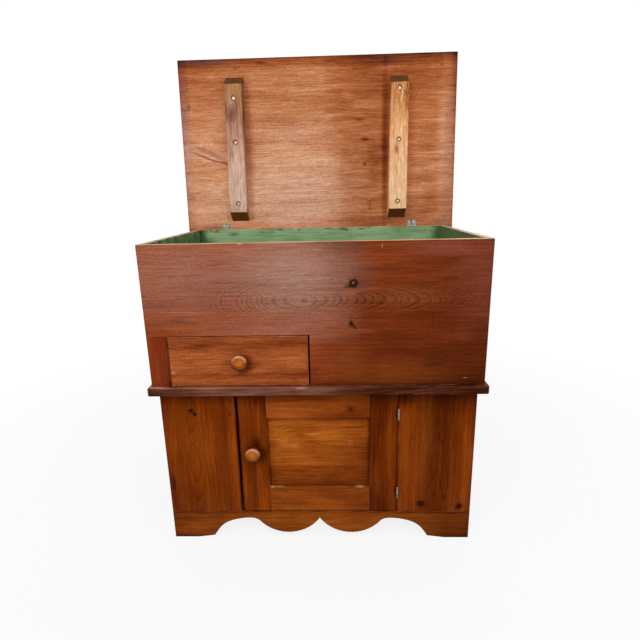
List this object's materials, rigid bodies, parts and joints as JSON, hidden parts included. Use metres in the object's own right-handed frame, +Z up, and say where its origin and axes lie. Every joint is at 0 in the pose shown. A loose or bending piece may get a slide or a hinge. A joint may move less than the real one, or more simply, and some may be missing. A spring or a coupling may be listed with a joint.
{
  "type": "dry sink cabinet",
  "caption": "Lift-lid dry sink cabinet: a deep painted bin with a hinged lid and a small drawer, over a cupboard with a panelled door and a scalloped apron.",
  "frame": {"origin": "on the floor, under the middle of the box that encloses the cabinet as it stands with its lid open", "axes": "+Z up, -Y to the front (the drawer and door side), +X to the right of someone facing the front"},
  "size_m": [0.976, 0.641, 1.4758],
  "materials": {
    "stained_pine": "reddish brown stained and varnished pine, satin",
    "lid_pine": "lighter red-brown stained pine, satin",
    "dark_stained_pine": "dark walnut stained pine, satin",
    "grey_brown_batten": "grey-brown oiled softwood, matt",
    "light_tan_batten": "light tan oiled softwood, matt",
    "turned_maple": "golden varnished turned hardwood",
    "bare_pine": "unfinished secondary pine",
    "hinge_steel": "dulled plated steel",
    "screw_steel": "dulled steel screw"
  },
  "bodies": {
    "cabinet": {"bin_front_board": "stained_pine", "drawer_side_stile": "stained_pine", "bin_side_left": "stained_pine", "bin_side_right": "stained_pine", "bin_back_board": "bare_pine", "drawer_pocket_top": "bare_pine", "drawer_pocket_side": "bare_pine", "drawer_guide": "bare_pine", "drawer_stop": "bare_pine", "waist_board": "dark_stained_pine", "apron": "stained_pine", "base_stile_left": "stained_pine", "base_stile_right": "stained_pine", "base_side_left": "stained_pine", "base_side_right": "stained_pine", "cupboard_floor": "bare_pine", "floor_cleats": "bare_pine", "foot_blocks": "bare_pine", "door_stop": "bare_pine", "base_back_board_left": "bare_pine", "base_back_board_middle": "bare_pine", "base_back_board_right": "bare_pine", "lid_hinge_left_back_leaf": "hinge_steel", "lid_hinge_right_back_leaf": "hinge_steel", "lid_hinge_pins": "hinge_steel", "lid_hinge_back_screws": "hinge_steel", "door_hinge_upper_frame_leaf": "hinge_steel", "door_hinge_lower_frame_leaf": "hinge_steel", "door_hinge_pins": "hinge_steel", "door_hinge_frame_screws": "hinge_steel"},
    "lid": {"lid_board_rear": "lid_pine", "lid_board_front": "lid_pine", "lid_batten_left": "grey_brown_batten", "lid_batten_right": "light_tan_batten", "lid_batten_screws": "screw_steel", "lid_hinge_left_lid_leaf": "hinge_steel", "lid_hinge_right_lid_leaf": "hinge_steel", "lid_hinge_lid_screws": "hinge_steel"},
    "door": {"door_stile_left": "stained_pine", "door_stile_right": "stained_pine", "door_rail_top": "stained_pine", "door_rail_bottom": "stained_pine", "door_panel": "stained_pine", "door_hinge_upper_door_leaf": "hinge_steel", "door_hinge_lower_door_leaf": "hinge_steel", "door_hinge_door_screws": "hinge_steel"},
    "latch": {"door_knob": "turned_maple", "door_latch_bar": "bare_pine", "door_latch_peg": "bare_pine"},
    "drawer": {"drawer_front": "stained_pine", "drawer_side_left": "bare_pine", "drawer_side_right": "bare_pine", "drawer_back": "bare_pine", "drawer_bottom": "bare_pine", "drawer_knob": "turned_maple", "drawer_knob_screw": "screw_steel"}
  },
  "joints": [
    {"name": "lid_hinge", "type": "hinge", "parent": "cabinet", "child": "lid", "pos_m": [0, 0.26723, 0.89215], "axis": [1, 0, 0], "range_deg": [0, 93.35]},
    {"name": "door_hinge", "type": "hinge", "parent": "cabinet", "child": "door", "pos_m": [0.2289, -0.27557, 0.281], "axis": [0, 0, 1], "range_deg": [0, 175]},
    {"name": "latch_turn", "type": "hinge", "parent": "door", "child": "latch", "pos_m": [-0.185, -0.27357, 0.2935], "axis": [0, 1, 0], "range_deg": [0, 90]},
    {"name": "drawer_slide", "type": "slide", "parent": "cabinet", "child": "drawer", "axis": [0, -1, 0], "range_m": [0, 0.4]}
  ]
}
